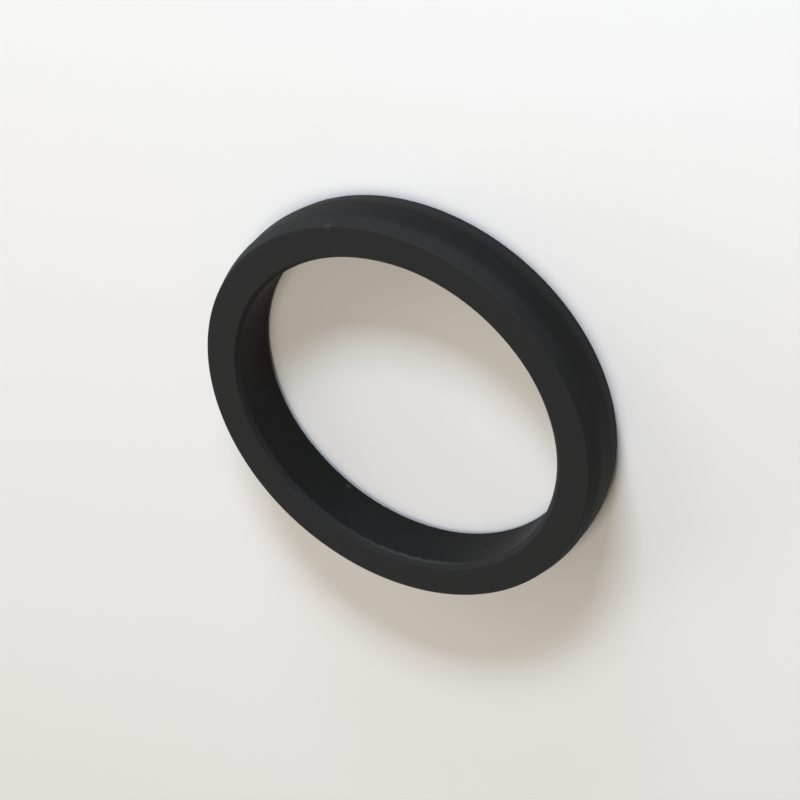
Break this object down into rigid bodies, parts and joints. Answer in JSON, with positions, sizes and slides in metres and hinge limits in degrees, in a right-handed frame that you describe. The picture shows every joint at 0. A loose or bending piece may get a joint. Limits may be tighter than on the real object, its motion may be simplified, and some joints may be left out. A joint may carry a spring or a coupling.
{
  "type": "sealing ring",
  "caption": "Plain moulded rubber sealing ring with flat faces, a slightly sloped outer wall and a bevelled straight bore.",
  "frame": {"origin": "centre of the lower flat face, on the axis of the ring", "axes": "+Z along the axis of the ring, from the lower flat face to the upper one"},
  "size_m": [0.04, 0.04, 0.0057],
  "materials": {
    "rubber": "matt moulded black rubber"
  },
  "bodies": {
    "root": {"sealing_ring": "rubber"}
  },
  "joints": []
}
